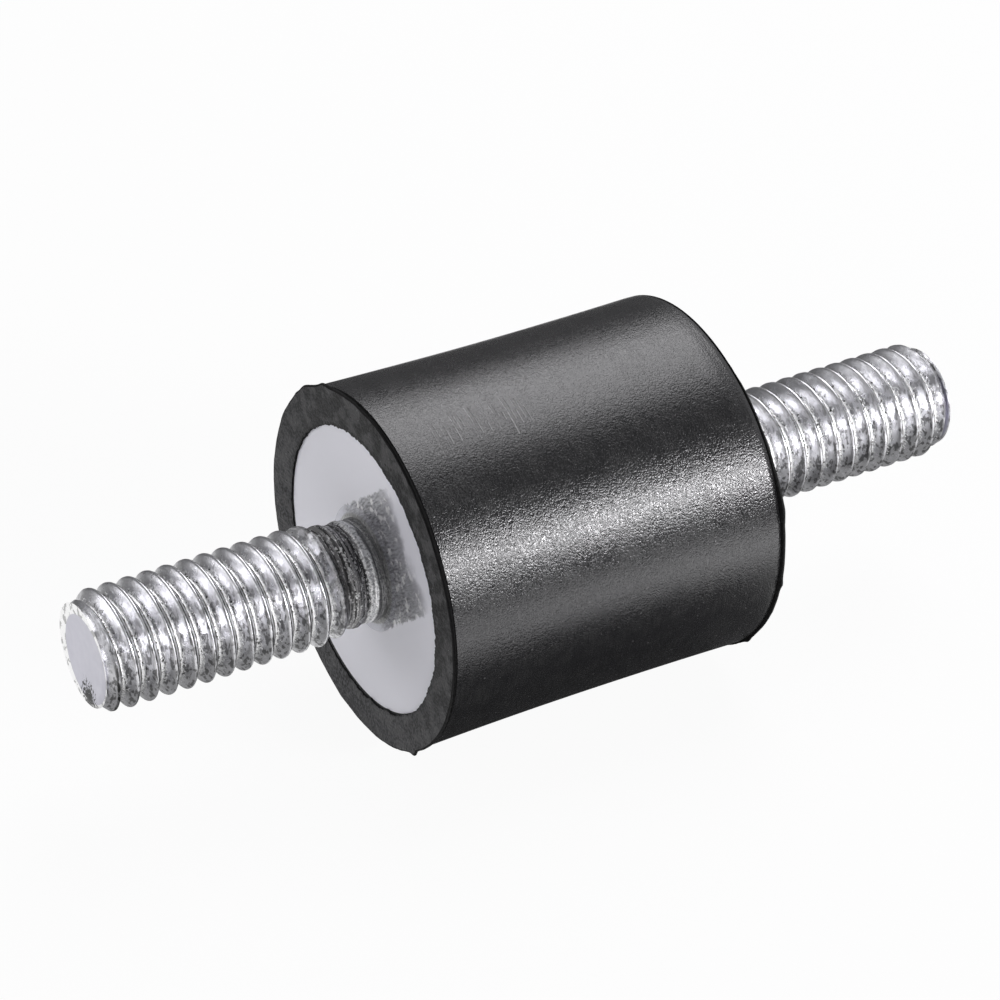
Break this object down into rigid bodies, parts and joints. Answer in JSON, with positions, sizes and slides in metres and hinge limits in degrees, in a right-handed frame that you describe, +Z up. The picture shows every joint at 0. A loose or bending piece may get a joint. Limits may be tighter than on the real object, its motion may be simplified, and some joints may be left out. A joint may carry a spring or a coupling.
{
  "type": "bobbin vibration mount",
  "caption": "Cylindrical rubber vibration damper with a threaded steel stud and a bonded steel plate at each end.",
  "frame": {"origin": "centre of the rubber, on the axis, halfway between the two seats", "axes": "+X along the axis from the left stud to the right stud; +Z up with the mount lying on its rubber"},
  "size_m": [0.0482, 0.0186, 0.0186],
  "materials": {
    "black_rubber": "moulded natural rubber, satin on the side, trimmed matte at the ends",
    "zinc_plate": "flat steel plate with bright zinc plating",
    "zinc_thread": "rolled steel thread with bright zinc plating"
  },
  "bodies": {
    "root": {"rubber_body": "black_rubber", "left_plate": "zinc_plate", "right_plate": "zinc_plate", "left_stud": "zinc_thread", "right_stud": "zinc_thread"}
  },
  "joints": []
}
